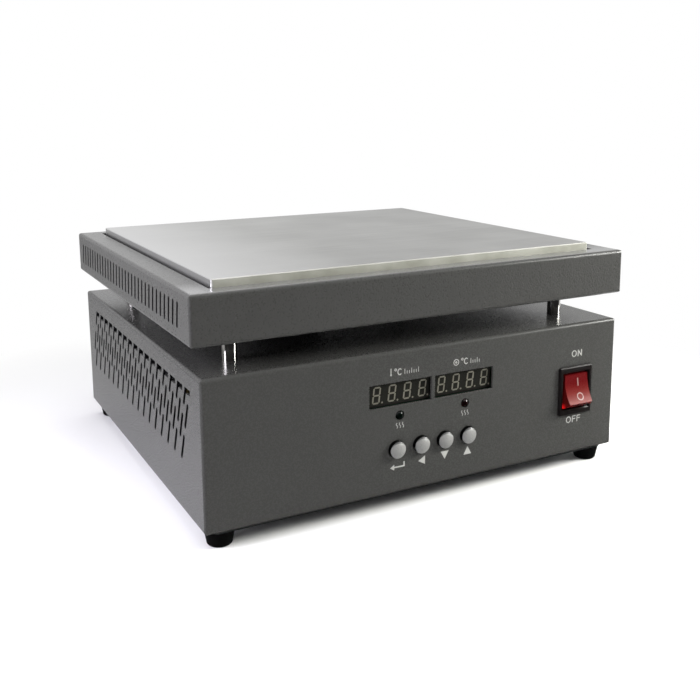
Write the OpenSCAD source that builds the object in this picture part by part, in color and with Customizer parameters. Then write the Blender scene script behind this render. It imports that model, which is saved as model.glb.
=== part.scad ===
/* [Base housing] */
// How far the hood stands past the base's sides
base_step_x = 4; // [1:0.5:8]
// How far the base stands past the hood's front and back
base_step_y = 0.5; // [0:0.1:4]
// Height of the base housing
base_h = 84; // [82:0.5:95]
// Sheet thickness of the base housing
base_sheet = 1.5; // [1:0.1:2]
// Inside radius of the folded edges
bend_inner_r = 0.8; // [0.4:0.1:1]
// Radius of the ground upright corners
corner_r = 1.6; // [0.6:0.1:2]
// Width of the return flange along the bottom edge
flange_w = 14; // [12.5:0.5:16]
// Length over which the flange is narrowed at each corner
flange_notch = 30; // [28:1:34]
// Width of the flange where it is narrowed
flange_rim = 6.5; // [6:0.1:7]

/* [Bottom plate and feet] */
// Thickness of the bottom plate
floor_t = 1.2; // [1:0.1:2]
// Distance from the housing's faces to the bottom plate's edge
floor_inset = 2.5; // [2.4:0.1:4]
// Chamfer on the bottom plate's corners
floor_chamfer = 5; // [3:0.5:6]
// Diameter of the bottom plate's screws
floor_screw_d = 3; // [2.5:0.5:3.5]
// Distance from the housing's faces to the bottom plate's screws
floor_screw_inset = 9; // [8.5:0.5:10]
// Length of the bottom plate's air slots
floor_vent_l = 24; // [12:1:26]
// Width of the bottom plate's air slots
floor_vent_w = 3; // [2:0.1:3.6]
// Height of a rubber foot
foot_h = 9; // [8:0.2:14]
// Diameter of a foot at its top
foot_top_d = 17; // [15:0.5:17.5]
// Diameter of a foot at the surface it stands on
foot_bottom_d = 14; // [13:0.5:15]
// Radius round the foot's lower edge
foot_edge_r = 1.5; // [1:0.1:1.8]
// Distance from the housing's sides to a foot's axis
foot_inset_x = 11.5; // [11:0.5:16]
// Distance from the housing's front and back to a foot's axis
foot_inset_y = 11; // [11:0.5:17]
// Diameter of the foot screws
foot_screw_d = 4; // [3:0.5:5]

/* [Side vents of the base] */
// Distance between the vent columns
vent_pitch = 12.74; // [12.2:0.02:13.2]
// Distance from the front face to the first column
vent_front = 24.4; // [20:0.2:28]
// Clear sheet behind the last column
vent_back = 27; // [25:0.5:34]
// Distance from the housing's top to the vents
vent_drop = 10.2; // [8:0.2:13]
// Width of a vent slot
vent_w = 2.8; // [2:0.1:3.4]
// Height that a full slot spans
vent_l = 15.2; // [12:0.2:16]
// Height from one slot to the next in a column
vent_row = 19.6; // [18:0.2:21]
// Height of the notch that tops each column
vent_notch = 3.2; // [2:0.1:5]
// How far the half-pitch column sits above the other
vent_stagger = 7.4; // [6.4:0.1:9.6]
// Slant of the slots from upright
vent_slant = 23; // [10:1:26]

/* [Hood] */
// Width of the hood beside the plate
hood_rim_x = 16.5; // [15:0.1:18]
// Width of the hood before and behind the plate
hood_rim_y = 13.75; // [13:0.05:18]
// Height of the hood
hood_h = 27.6; // [26:0.2:32]
// Sheet thickness of the hood
hood_sheet = 1.5; // [1:0.1:2]
// Width of the hood's bottom lip
hood_lip = 16; // [15:0.5:18]
// Open height between the base and the hood
hood_gap = 15.9; // [13:0.1:24]
// Distance between the hood's side slots
hood_slot_pitch = 7.4; // [6.8:0.1:8]
// Width of a hood slot
hood_slot_w = 2.5; // [1.8:0.1:3]
// Height of a hood slot
hood_slot_l = 14.5; // [10:0.5:15]
// Slant of the hood's slots from upright
hood_slot_slant = 9; // [0:1:15]
// Distance from the hood's top to its slots
hood_slot_drop = 6.3; // [5:0.1:8]
// Distance from the hood's front to its first slot
hood_slot_front = 19.8; // [16:0.2:26]
// Clear sheet behind the hood's last slot
hood_slot_back = 12; // [10:0.5:18]
// Thickness of the tray that closes the hood
tray_t = 1.2; // [1:0.1:2]
// Distance from the hood's faces to the tray's edge
tray_inset = 6; // [5:0.5:7]
// Distance from the hood's faces to the tray's screws
tray_screw_inset = 13; // [11:0.5:13.5]
// Diameter of the tray's screws
tray_screw_d = 2.5; // [2:0.5:3]

/* [Support posts] */
// Diameter of a support post
post_d = 8.5; // [8:0.5:12]
// Distance from the base's sides to a post's axis
post_inset_x = 26.5; // [25:0.5:30]
// Distance from the base's front and back to a post's axis
post_inset_y = 28.5; // [27:0.5:32]
// Diameter of the post screws
post_screw_d = 5; // [4:0.5:6]
// Depth of the threads in the post's ends
post_thread = 5.5; // [4:0.5:6]

/* [Heating plate] */
// Width of the heating plate
plate_w = 251; // [246:1:256]
// Depth of the heating plate
plate_d = 228.5; // [225:0.5:234]
// Thickness of the heating plate
plate_t = 15; // [13:0.5:18]
// How far the plate stands above the hood
plate_proud = 4.2; // [2:0.1:6]
// Open gap between the plate and the hood
plate_gap = 2; // [1:0.1:3]
// Chamfer round the plate's top edge
plate_chamfer = 0.5; // [0.2:0.1:1]
// Radius of the plate's upright corners
plate_corner_r = 1.5; // [0.5:0.1:3]
// Distance from the plate's sides to a standoff's axis
standoff_inset_x = 13.5; // [11:0.5:16]
// Distance of the standoffs from the plate's middle line
standoff_y = 62; // [50:1:75]
// Diameter of a standoff
standoff_d = 12; // [10:0.5:14]
// Diameter of the plate's screws
plate_screw_d = 5; // [4:0.5:6]
// Depth of the plate screws in the plate
plate_thread = 8; // [6:0.5:10]

/* [Heating element] */
// Diameter of the heating tube
tube_d = 8; // [6.5:0.5:8.5]
// Distance from the plate's sides to the outer runs
heater_inset_x = 35.5; // [32:0.5:40]
// Distance from the plate's front and back to the tube
heater_inset_y = 29.25; // [24:0.25:34]
// Radius of the bend down to the terminals
drop_r = 12; // [10:0.5:14]
// Distance from the plate's back to the terminals
terminal_inset = 36.25; // [32:0.25:40]
// How far the cold ends reach below the base's top
cold_end = 12; // [8:1:20]
// Width of a strap
strap_w = 12; // [10:0.5:16]
// Thickness of a strap
strap_t = 1.5; // [1:0.1:2]
// Distance from the front bends to the front strap
strap_front = 16; // [12:1:20]
// Distance from the rear bends to the rear strap
strap_rear = 20; // [12:1:24]
// Diameter of the strap screws
strap_screw_d = 4; // [3:0.5:4.5]
// Depth of the strap screws in the plate
strap_thread = 7; // [5:0.5:9]
// Thickness of the insulation board
insulation_t = 6; // [4:0.5:8]
// Distance from the plate's edge to the insulation's edge
insulation_inset = 5; // [3:0.5:6]

/* [Front panel] */
// Distance from the panel's face to the control board
board_depth = 8; // [7.6:0.1:10]
// Width of the control board
board_w = 100; // [96:1:110]
// Height of the control board
board_h = 53; // [50:1:56]
// Height of the control board's middle above the base's edge
board_z = 43.5; // [42.5:0.5:45.5]
// Thickness of a circuit board
board_t = 1.6; // [1:0.1:2]
// Width of a display
display_w = 39.8; // [38:0.2:41]
// Height of a display
display_h = 12.9; // [12:0.1:14]
// Distance between the displays' middles
display_pitch = 43; // [42:0.2:46]
// Height of the displays' middle above the base's edge
display_z = 58.9; // [57.5:0.2:60.5]
// Place of the middle of the displays, the lamps and the buttons
controls_x = 0.6; // [-2:0.1:2]
// How far a display lies below the panel's face
display_recess = 2.2; // [0.4:0.1:3]
// Chamfer round the displays' windows
window_chamfer = 0.3; // [0.1:0.1:0.6]
// Height of a digit
digit_h = 9.9; // [8:0.1:10.5]
// Width of a digit
digit_w = 4.9; // [4:0.1:5.6]
// Distance between digits
digit_pitch = 10; // [9:0.1:10.2]
// How far the digits stand right of the display's middle
digit_shift = 0.4; // [-1:0.1:0.6]
// How far the digits stand above the display's middle
digit_rise = 0.3; // [-0.5:0.1:0.8]
// Width of a digit's bars
bar_w = 0.9; // [0.6:0.1:1.2]
// Diameter of an indicator lamp
led_d = 5; // [4:0.1:5.4]
// Height of the lamps above the base's edge
led_z = 46.2; // [44.5:0.1:47.5]
// Distance of the lamps from the middle
led_x = 22.2; // [18:0.1:26]
// Diameter of a button
button_d = 9.8; // [9:0.1:12]
// How far a button stands out
button_proud = 3; // [2:0.1:4]
// Distance between the buttons
button_pitch = 16.2; // [15.6:0.1:18]
// Height of the buttons above the base's edge
button_z = 26.4; // [26:0.1:28.5]
// Open ring round a button
button_ring = 0.5; // [0.3:0.1:0.7]
// Travel of a button
button_travel = 0.5; // [0.2:0.1:0.6]

/* [Power switch] */
// Distance from the housing's side to the switch's middle
switch_inset = 32.3; // [30:0.1:40]
// Height of the switch above the base's edge
switch_z = 41.5; // [35:0.5:49]
// Width of the switch's bezel
bezel_w = 25.5; // [25:0.1:28]
// Height of the switch's bezel
bezel_h = 31; // [30.4:0.1:34]
// How far the bezel stands out
bezel_t = 2; // [1.5:0.1:2.5]
// Width of the switch's body
switch_w = 23.4; // [22.8:0.1:24]
// Height of the switch's body
switch_h = 28.6; // [26:0.1:29.4]
// Depth of the switch's body behind the panel
switch_depth = 20; // [14:0.5:26]
// Chamfer on the bezel and round its window
bezel_chamfer = 0.6; // [0.2:0.1:0.8]
// Width of the window in the bezel
window_w = 20.5; // [19:0.1:21]
// Height of the window in the bezel
window_h = 23.5; // [23.3:0.1:25]
// Radius that the rocker's ends swing on
rocker_r = 10.8; // [10:0.1:11.2]
// How far the rocker's ends stand out from its pivot
rocker_reach = 5.8; // [4.5:0.1:6]
// Depth of the hollow in the rocker's face
rocker_dip = 1.6; // [1:0.1:2.4]
// Width of the rocker's face, towards which its sides lean in
rocker_face_w = 17.6; // [16:0.1:18.6]
// Tilt of the rocker each way from level
rocker_tilt = 18; // [8:1:20]
// Depth of the pivot below the panel's face
pivot_depth = 1; // [0.5:0.1:2]
// Diameter of the rocker's pivot pins
pivot_d = 3; // [2:0.1:3.4]

/* [Mains inlet] */
// Distance from the housing's side to the inlet's middle
inlet_inset = 53; // [44:1:70]
// Height of the inlet above the base's edge
inlet_z = 35.5; // [27:0.5:50]
// Width of the inlet's flange
inlet_flange_w = 50; // [48:1:54]
// Height of the inlet's flange
inlet_flange_h = 22.6; // [21:0.2:26]
// Thickness of the inlet's flange
inlet_flange_t = 3; // [2:0.1:4]
// Width of the inlet's body
inlet_w = 27.4; // [27:0.1:30]
// Height of the inlet's body
inlet_h = 19.8; // [19.4:0.1:21]
// Depth of the inlet's body behind the panel
inlet_depth = 20; // [17:0.5:26]
// Width of the socket
socket_w = 24.2; // [24:0.1:25]
// Height of the socket
socket_h = 16.4; // [16:0.1:17]
// Depth of the socket
socket_depth = 17; // [15:0.5:18]
// Distance between the inlet's screws
inlet_screw_pitch = 40; // [38:0.5:42]
// Diameter of the inlet's screws
inlet_screw_d = 3; // [2.5:0.5:3.5]

/* [Power electronics] */
// Width of the power board
power_w = 104; // [100:1:110]
// Depth of the power board
power_d = 84; // [80:1:92]
// Distance from the housing's side to the power board
power_inset = 27; // [23:1:30]
// Distance from the housing's back to the power board
power_back = 66.5; // [60:0.5:75]
// Height of the power board's standoffs
power_lift = 8; // [5:0.5:12]
// Width of the transformer's core
core_w = 48; // [40:1:52]
// Height of the transformer's core
core_h = 40; // [32:1:46]
// Stack depth of the transformer's core
core_d = 20; // [16:1:26]
// Length of the heat sink
sink_l = 90; // [70:1:100]
// Height of the heat sink
sink_h = 55; // [40:1:65]
// Length of the heat sink's fins
fin_l = 28; // [18:1:32]
// Distance between the heat sink's fins
fin_pitch = 9; // [7:0.5:12]
// Thickness of a fin
fin_t = 2; // [1.2:0.1:3]
// Distance from the housing's side to the heat sink's fins
sink_inset = 29; // [24:1:34]
// Distance from the housing's back to the heat sink
sink_back = 93.5; // [90:0.5:100]
// Length of the terminal block
block_l = 56; // [48:1:60]
// Number of ways in the terminal block
block_ways = 6; // [4:1:6]

/* [Hidden] */
$fn = 48;

paint = "dimgray";
steel = "silver";
black = [0.1, 0.1, 0.1];
brass = "goldenrod";
board_green = "seagreen";

eps = 0.01;
cut = 1;
weld_r = 0.3;
fit = 0.2;
seat_gap = 0.3;
thread_gap = 0.1;
screw_end = 1;
screw_gap = 0.25;
head_ratio = 1.9;
head_h_ratio = 0.6;
nut_ratio = 1.9;
nut_h_ratio = 0.8;
hex = 6;

hood_w = plate_w + 2 * hood_rim_x;
hood_d = plate_d + 2 * hood_rim_y;
base_w = hood_w - 2 * base_step_x;
base_d = hood_d + 2 * base_step_y;

floor_z = foot_h + floor_t;
base_top = floor_z + base_h;
hood_z = base_top + hood_gap;
hood_top = hood_z + hood_h;
tray_z = hood_z - tray_t;
plate_top = hood_top + plate_proud;
plate_z = plate_top - plate_t;
front_y = -base_d / 2;
base_bend_r = base_sheet + bend_inner_r;
hood_bend_r = hood_sheet + bend_inner_r;

foot_x = base_w / 2 - foot_inset_x;
foot_y = base_d / 2 - foot_inset_y;
foot_recess_d = head_ratio * foot_screw_d + 2 * seat_gap;
foot_recess = 4.5;
post_x = base_w / 2 - post_inset_x;
post_y = base_d / 2 - post_inset_y;
post_l = tray_z - base_top;
standoff_x = plate_w / 2 - standoff_inset_x;
standoff_l = plate_z - hood_z;

groove_gap = 0.15;
groove_r = tube_d / 2 + groove_gap;
tube_z = plate_z + groove_gap + tube_d / 2;
runs = 6;
run_pitch = (plate_w - 2 * heater_inset_x) / (runs - 1);
inner_x = run_pitch / 2;
middle_x = inner_x + run_pitch;
outer_x = middle_x + run_pitch;
bend_r = run_pitch / 2;
front_run_y = heater_inset_y - plate_d / 2;
front_bend_y = front_run_y + run_pitch + bend_r;
rear_bend_y = -front_run_y - bend_r;
corner_y = front_run_y + bend_r;
terminal_y = plate_d / 2 - terminal_inset;
lead_y = terminal_y - drop_r;
cold_end_z = base_top - cold_end;
stud_l = 12;
bead_l = 5;
bead_d = 7;
strap_y = [front_bend_y + strap_front, rear_bend_y - strap_rear];
strap_end = 10;
strap_l = 2 * (outer_x + strap_end);
strap_z = plate_z - strap_t;
clip_l = 36;
clip_screw = 12;

sensor_x = run_pitch;
sensor_y = (strap_y[0] + strap_y[1]) / 2;
probe_d = 6;
probe_l = 10;
probe_boss_d = 5;
disc_d = 16;
disc_h = 7;
tab_h = 2;
ear_pitch = 24;
ear_turn = 60;
ear_t = 1;
ear_w = 6;
ear_screw_d = 3;
ear_thread = 5;

duct_wall = 1;
duct_gap = 4;
duct_w = run_pitch + tube_d + 2 * duct_gap;
duct_d = tube_d + 2 * duct_gap;
duct_seat = 1;

board_front = -board_depth;
board_back = -board_depth - board_t;
board_screw_d = 3;
board_post_d = 5;
board_margin = 3.5;
button_xs = [for (i = [0 : 3]) controls_x + (i - 1.5) * button_pitch];
flange_t = 1;
flange_reach = 0.8;
plunger_d = 3.6;
plunger_gap = 0.1;
plunger_grip = 1;
tact_w = 6.2;
tact_h = 3.5;
tact_well = plunger_grip + button_travel + seat_gap;
button_edge = 0.8;
button_dome = 1;

digit_lean = 7;
digit_shear = tan(digit_lean);
bar_gap = 0.25;
bar_depth = 0.5;
dot_d = 1.1;
dot_x = 4.1;

switch_x = base_w / 2 - switch_inset;
rocker_back = 3;
rocker_gap = 0.2;
pin_l = 0.9;
pin_gap = 0.05;
rocker_room = 6.5;
well_depth = pivot_depth + rocker_room;
latch_l = 8;
latch_t = 1.2;
latch_rise = 6;

inlet_x = base_w / 2 - inlet_inset;
blade_w = 6.3;
blade_t = 0.8;
blade_l = 9;
prong_w = 2;
prong_h = 4;
prong_pitch = 14;
prong_offset = 2;
inlet_corner_r = 3;
socket_chamfer = 4.5;
prong_inset = 2;

power_x = power_inset + power_w / 2 - base_w / 2;
power_y = base_d / 2 - power_back - power_d / 2;
power_z = floor_z + power_lift;
power_top = power_z + board_t;
power_margin = 4;
core_inset = 28;
core_x = power_x - power_w / 2 + core_inset;
core_y = power_y + power_d / 2 - core_inset;
sink_base_t = 6;
sink_x = base_w / 2 - sink_inset - fin_l - sink_base_t;
sink_y = base_d / 2 - sink_back - sink_l / 2;
winding_gap = 4;
limb = core_w / 6;
relay_size = [20, 16, 15];
fuse_d = 5;
fuse_l = 20;
fuse_lift = 3;
triac_w = 16;
triac_h = 20;
triac_t = 5;
triac_lead = 12;
triac_pitch = 5.4;
block_inset = 57;
block_back = 62.5;
block_x = base_w / 2 - block_inset - block_l / 2;
block_y = base_d / 2 - block_back;
block_w = 20;
block_h = 16;
block_ear = 8;
block_wall = 2;
block_well = 5;
block_pitch = (block_l - 2 * block_ear) / block_ways;
earth_inset = 25;
earth_back = 32.5;
earth_x = base_w / 2 - earth_inset;
earth_y = base_d / 2 - earth_back;
earth_l = 14;
lug_t = 1;
floor_thread = 6;
vent_rows = 5;
vent_step = 12;

signs = [-1, 1];
corners = [for (x = signs, y = signs) [x, y]];

// A rectangle with round corners, drawn about its middle
module rounded_rect(w, d, r) {
    square([w - 2 * r, d], center = true);
    square([w, d - 2 * r], center = true);
    for (c = corners) translate([c.x * (w / 2 - r), c.y * (d / 2 - r)]) circle(r = r);
}

// A block of height t that grows on every side by grow from its bottom, w by d, to its top
module flared(w, d, grow, t) {
    room = 2 * abs(grow);
    intersection() {
        rotate([90, 0, 0]) linear_extrude(height = d + room, center = true)
            polygon([[-w / 2, 0], [w / 2, 0], [w / 2 + grow, t], [-w / 2 - grow, t]]);
        rotate([90, 0, 90]) linear_extrude(height = w + room, center = true)
            polygon([[-d / 2, 0], [d / 2, 0], [d / 2 + grow, t], [-d / 2 - grow, t]]);
    }
}

// A box folded from sheet: bends of radius r along its top and bottom, corner along its uprights
module folded_box(w, d, h, r, corner) {
    intersection() {
        linear_extrude(height = h) rounded_rect(w, d, corner);
        rotate([90, 0, 0]) linear_extrude(height = d + 2 * cut, center = true)
            translate([0, h / 2]) rounded_rect(w, h, r);
        rotate([90, 0, 90]) linear_extrude(height = w + 2 * cut, center = true)
            translate([0, h / 2]) rounded_rect(d, h, r);
    }
}

// Folded sheet of thickness t, with its outside bends of radius r
module folded_shell(w, d, h, t, r) {
    difference() {
        folded_box(w, d, h, r, corner_r);
        translate([0, 0, t]) folded_box(w - 2 * t, d - 2 * t, h - 2 * t, bend_inner_r, weld_r);
    }
}

// An upright slot with round ends, drawn about its middle
module slot(w, l) {
    square([w, l - w], center = true);
    for (s = signs) translate([0, s * (l - w) / 2]) circle(d = w);
}

// Children at the four corners of a rectangle
module at_corners(x, y) {
    for (c = corners) translate([c.x * x, c.y * y, 0]) children();
}

// Children on the front panel: X across, Y up, Z out of the panel
module on_front(x, z) {
    translate([x, front_y, floor_z + z]) rotate([90, 0, 0]) children();
}

// Children on the back wall: X across, Y up, Z out of the wall
module on_back(x, z) {
    translate([x, -front_y, floor_z + z]) rotate([90, 0, 180]) children();
}

// An opening cut through a sheet whose outer face is at height zero
module pierce(t) {
    translate([0, 0, -t - cut]) linear_extrude(height = t + 2 * cut) children();
}

// A pan-head screw with its head above height zero and its shank below
module screw(d, l) {
    head_h = head_h_ratio * d;
    difference() {
        union() {
            cylinder(d = head_ratio * d, h = head_h);
            translate([0, 0, -l]) cylinder(d = d - 2 * thread_gap, h = l + eps);
        }
        for (a = [0, 90]) rotate(a) translate([0, 0, head_h])
            cube([d, d / 4, head_h], center = true);
    }
}

// A hexagon nut that stands on height zero
module nut(d) {
    difference() {
        cylinder(d = nut_ratio * d, h = nut_h_ratio * d, $fn = hex);
        translate([0, 0, -cut]) cylinder(d = d, h = nut_h_ratio * d + 2 * cut);
    }
}

// A round spacer that stands on height zero, with its bore
module spacer(d, bore_d, l) {
    difference() {
        cylinder(d = d, h = l);
        translate([0, 0, -cut]) cylinder(d = bore_d, h = l + 2 * cut);
    }
}

// Places of the screws round a panel whose edge screws are w and d apart
module edge_screws(w, d) {
    for (s = signs, t = signs) {
        translate([s * w / 2, t * d / 4, 0]) children();
        translate([t * w / 4, s * d / 2, 0]) children();
    }
}

// One slanted vent slot, its middle at height z in the column at y
module vent_slot(y, z, span) {
    translate([y - z * tan(vent_slant), z]) rotate(vent_slant)
        slot(vent_w, (span - vent_w) / cos(vent_slant) + vent_w);
}

// The vent columns, with height zero at the middle of the top notches
module vent_pattern() {
    upper = (vent_l + vent_notch) / 2;
    full = -vent_row - (vent_row - vent_l) / 2;
    columns = floor((base_d - vent_front - vent_back) / vent_pitch);
    for (i = [0 : columns]) {
        y = front_y + vent_front + i * vent_pitch;
        half = y - vent_pitch / 2;
        translate([(y + half) / 2, 0]) square([vent_pitch / 2 + vent_w, vent_notch], center = true);
        vent_slot(y, -upper / 2, upper);
        vent_slot(y, full, vent_l);
        vent_slot(half, full + vent_stagger, vent_l);
        vent_slot(half, full + vent_stagger - vent_row, vent_l);
    }
}

// The oblong hole that the element's cold ends pass through
module duct_outline(grow) {
    rotate(90) slot(duct_d + 2 * grow, duct_w + 2 * grow);
}

// The opening inside the base's return flange, wider at the corners
module flange_opening() {
    difference() {
        square([base_w - 2 * flange_rim, base_d - 2 * flange_rim], center = true);
        for (s = signs) {
            translate([s * (base_w - flange_w) / 2, 0])
                square([flange_w, base_d - 2 * flange_notch], center = true);
            translate([0, s * (base_d - flange_w) / 2])
                square([base_w - 2 * flange_notch, flange_w], center = true);
        }
    }
}

module base_housing() {
    color(paint) difference() {
        translate([0, 0, floor_z]) folded_shell(base_w, base_d, base_h, base_sheet, base_bend_r);
        translate([0, 0, floor_z + base_sheet]) pierce(base_sheet) flange_opening();
        translate([0, 0, base_top - vent_drop - vent_notch / 2]) rotate([90, 0, 90])
            linear_extrude(height = base_w + 2 * cut, center = true) vent_pattern();
        for (s = signs) on_front(controls_x + s * display_pitch / 2, display_z) {
            pierce(base_sheet)
                square([display_w + 2 * seat_gap, display_h + 2 * seat_gap], center = true);
            translate([0, 0, -window_chamfer]) flared(display_w + 2 * seat_gap,
                display_h + 2 * seat_gap, 2 * window_chamfer, 2 * window_chamfer);
        }
        for (s = signs) on_front(controls_x + s * led_x, led_z) pierce(base_sheet)
            circle(d = led_d + 2 * seat_gap);
        for (x = button_xs) on_front(x, button_z) pierce(base_sheet)
            circle(d = button_d + 2 * button_ring);
        on_front(switch_x, switch_z) pierce(base_sheet)
            square([switch_w + 2 * fit, switch_h + 2 * fit], center = true);
        on_back(inlet_x, inlet_z) {
            pierce(base_sheet) square([inlet_w + 2 * fit, inlet_h + 2 * fit], center = true);
            for (s = signs) translate([s * inlet_screw_pitch / 2, 0]) pierce(base_sheet)
                circle(d = inlet_screw_d + 2 * screw_gap);
        }
        translate([0, 0, base_top]) {
            at_corners(post_x, post_y) pierce(base_sheet) circle(d = post_screw_d + 2 * screw_gap);
            translate([0, terminal_y]) pierce(base_sheet) duct_outline(-duct_seat);
        }
        translate([0, 0, floor_z + base_sheet])
            edge_screws(base_w - 2 * floor_screw_inset, base_d - 2 * floor_screw_inset)
                pierce(base_sheet) circle(d = floor_screw_d);
    }
}

module floor_outline() {
    w = base_w - 2 * floor_inset;
    d = base_d - 2 * floor_inset;
    c = floor_chamfer;
    polygon([[c - w / 2, -d / 2], [w / 2 - c, -d / 2], [w / 2, c - d / 2], [w / 2, d / 2 - c],
        [w / 2 - c, d / 2], [c - w / 2, d / 2], [-w / 2, d / 2 - c], [-w / 2, c - d / 2]]);
}

// The air slots under the power board and the heat sink
module floor_vents() {
    for (x = [power_x, sink_x + sink_base_t + fin_l / 2], i = [0 : vent_rows - 1])
        translate([x, sink_y + (i - (vent_rows - 1) / 2) * vent_step]) rotate(90)
            slot(floor_vent_w, floor_vent_l);
}

// Places of the screws that hold the heat sink and the terminal block
module floor_screw_places() {
    for (s = signs) {
        translate([sink_x + sink_base_t / 2, sink_y + s * sink_l / 3, 0]) children();
        translate([block_x + s * (block_l - block_ear) / 2, block_y, 0]) children();
    }
}

module bottom_plate() {
    color(steel) translate([0, 0, floor_z]) difference() {
        translate([0, 0, -floor_t]) linear_extrude(height = floor_t) floor_outline();
        at_corners(foot_x, foot_y) pierce(floor_t) circle(d = foot_screw_d + 2 * screw_gap);
        edge_screws(base_w - 2 * floor_screw_inset, base_d - 2 * floor_screw_inset)
            pierce(floor_t) circle(d = floor_screw_d + 2 * screw_gap);
        pierce(floor_t) floor_vents();
        at_power_corners() pierce(floor_t) circle(d = board_screw_d + 2 * screw_gap);
        floor_screw_places() pierce(floor_t) circle(d = board_screw_d + 2 * screw_gap);
        translate([earth_x, earth_y]) pierce(floor_t) circle(d = foot_screw_d + 2 * screw_gap);
    }
}

module bottom_screws() {
    color(steel) translate([0, 0, floor_z - floor_t])
        edge_screws(base_w - 2 * floor_screw_inset, base_d - 2 * floor_screw_inset)
            mirror([0, 0, 1]) screw(floor_screw_d, floor_t + base_sheet + screw_end);
}

module rubber_feet() {
    r = foot_bottom_d / 2;
    color(black) at_corners(foot_x, foot_y) rotate_extrude() difference() {
        union() {
            polygon([[0, 0], [r - foot_edge_r, 0], [r - foot_edge_r, foot_edge_r], [r, foot_edge_r],
                [foot_top_d / 2, foot_h], [0, foot_h]]);
            intersection() {
                translate([r - foot_edge_r, foot_edge_r]) circle(r = foot_edge_r);
                square([r, foot_edge_r]);
            }
        }
        translate([0, -cut]) square([foot_screw_d / 2 + screw_gap, foot_h + 2 * cut]);
        translate([0, -cut]) square([foot_recess_d / 2, foot_recess + cut]);
    }
}

module foot_screws() {
    l = foot_h - foot_recess + floor_t + foot_screw_d + screw_end;
    color(steel) at_corners(foot_x, foot_y) translate([0, 0, foot_recess])
        mirror([0, 0, 1]) screw(foot_screw_d, l);
}

module foot_nuts() {
    color(steel) at_corners(foot_x, foot_y) translate([0, 0, floor_z]) nut(foot_screw_d);
}

module support_posts() {
    color(steel) translate([0, 0, base_top]) at_corners(post_x, post_y) difference() {
        cylinder(d = post_d, h = post_l);
        for (z = [0, post_l]) translate([0, 0, z])
            cylinder(d = post_screw_d, h = 2 * post_thread, center = true);
    }
}

module lower_post_screws() {
    color(steel) translate([0, 0, base_top - base_sheet]) at_corners(post_x, post_y)
        mirror([0, 0, 1]) screw(post_screw_d, base_sheet + post_thread - screw_end);
}

module upper_post_screws() {
    color(steel) translate([0, 0, hood_z]) at_corners(post_x, post_y)
        screw(post_screw_d, tray_t + post_thread - screw_end);
}

// The row of slanted slots along a side of the hood
module hood_slots() {
    last = floor((hood_d - hood_slot_front - hood_slot_back) / hood_slot_pitch);
    for (i = [0 : last])
        translate([hood_slot_front - hood_d / 2 + i * hood_slot_pitch,
            hood_h - hood_slot_drop - hood_slot_l / 2]) rotate(hood_slot_slant)
                slot(hood_slot_w, hood_slot_l);
}

module hood() {
    color(paint) translate([0, 0, hood_z]) difference() {
        folded_shell(hood_w, hood_d, hood_h, hood_sheet, hood_bend_r);
        translate([0, 0, hood_h]) pierce(hood_sheet)
            square([plate_w + 2 * plate_gap, plate_d + 2 * plate_gap], center = true);
        translate([0, 0, hood_sheet]) pierce(hood_sheet)
            square([hood_w - 2 * hood_lip, hood_d - 2 * hood_lip], center = true);
        rotate([90, 0, 90]) linear_extrude(height = hood_w + 2 * cut, center = true) hood_slots();
        translate([0, 0, hood_sheet])
            edge_screws(hood_w - 2 * tray_screw_inset, hood_d - 2 * tray_screw_inset)
                pierce(hood_sheet) circle(d = tray_screw_d);
    }
}

module hood_tray() {
    color(steel) translate([0, 0, hood_z]) difference() {
        translate([0, 0, -tray_t]) linear_extrude(height = tray_t)
            rounded_rect(hood_w - 2 * tray_inset, hood_d - 2 * tray_inset, floor_chamfer);
        at_corners(post_x, post_y) pierce(tray_t) circle(d = post_screw_d + 2 * screw_gap);
        at_corners(standoff_x, standoff_y) pierce(tray_t) circle(d = plate_screw_d + 2 * screw_gap);
        edge_screws(hood_w - 2 * tray_screw_inset, hood_d - 2 * tray_screw_inset)
            pierce(tray_t) circle(d = tray_screw_d + 2 * screw_gap);
        translate([0, terminal_y]) pierce(tray_t) duct_outline(-duct_seat);
    }
}

module tray_screws() {
    color(steel) translate([0, 0, tray_z])
        edge_screws(hood_w - 2 * tray_screw_inset, hood_d - 2 * tray_screw_inset)
            mirror([0, 0, 1]) screw(tray_screw_d, tray_t + hood_sheet + screw_end);
}

// Sweeps a profile along the element's level runs: its Y becomes height
module element_path() {
    for (s = [0, 1]) mirror([s, 0, 0]) {
        translate([inner_x, lead_y, 0]) rotate([90, 0, 0])
            linear_extrude(height = lead_y - front_bend_y) children();
        translate([middle_x, rear_bend_y, 0]) rotate([90, 0, 0])
            linear_extrude(height = rear_bend_y - front_bend_y) children();
        translate([outer_x, rear_bend_y, 0]) rotate([90, 0, 0])
            linear_extrude(height = rear_bend_y - corner_y) children();
        translate([(inner_x + middle_x) / 2, front_bend_y, 0]) rotate([0, 0, 180])
            rotate_extrude(angle = 180) translate([bend_r, 0]) children();
        translate([(middle_x + outer_x) / 2, rear_bend_y, 0])
            rotate_extrude(angle = 180) translate([bend_r, 0]) children();
        translate([outer_x - bend_r, corner_y, 0]) rotate([0, 0, -90])
            rotate_extrude(angle = 90) translate([bend_r, 0]) children();
    }
    translate([bend_r - outer_x, front_run_y, 0]) rotate([90, 0, 90])
        linear_extrude(height = 2 * (outer_x - bend_r)) children();
}

// The milled groove's profile, open at the plate's underside
module groove_profile() {
    circle(r = groove_r);
    translate([-groove_r, -groove_r - cut]) square([2 * groove_r, groove_r + cut]);
}

// The plate's outline with its chamfer, seen from one side
module plate_profile(w) {
    c = plate_chamfer;
    polygon([[-w / 2, 0], [w / 2, 0], [w / 2, plate_t - c], [w / 2 - c, plate_t],
        [c - w / 2, plate_t], [-w / 2, plate_t - c]]);
}

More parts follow.
